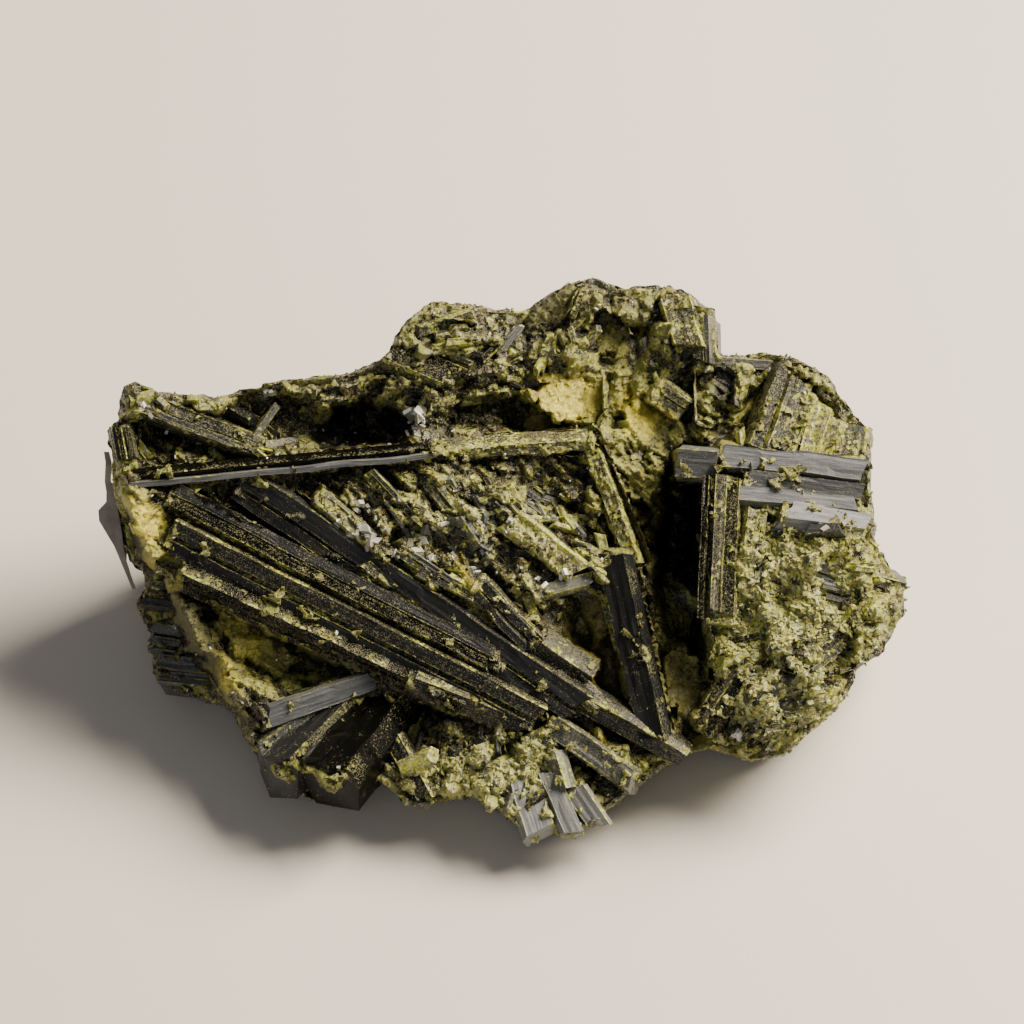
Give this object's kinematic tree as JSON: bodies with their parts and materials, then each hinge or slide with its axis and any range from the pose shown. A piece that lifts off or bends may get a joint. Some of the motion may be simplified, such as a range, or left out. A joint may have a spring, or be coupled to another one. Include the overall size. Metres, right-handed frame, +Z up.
{
  "type": "epidote specimen",
  "caption": "Natural mineral specimen: dark striated prismatic crystals grown through a lumpy yellow-green crystal mass, resting on its flat underside.",
  "frame": {"origin": "on the table under the middle of the specimen's box", "axes": "+X to the right along the long side as the show face is seen, +Z up, the show face looks toward -Y and up"},
  "size_m": [0.0941, 0.0664, 0.0401],
  "materials": {
    "epidote": "glassy blackish-green to gray crystals in dull yellow-green grains",
    "paper": "thin matte gray-white paper, worn"
  },
  "bodies": {
    "root": {"epidote_cluster": "epidote", "label_slip": "paper"}
  },
  "joints": []
}
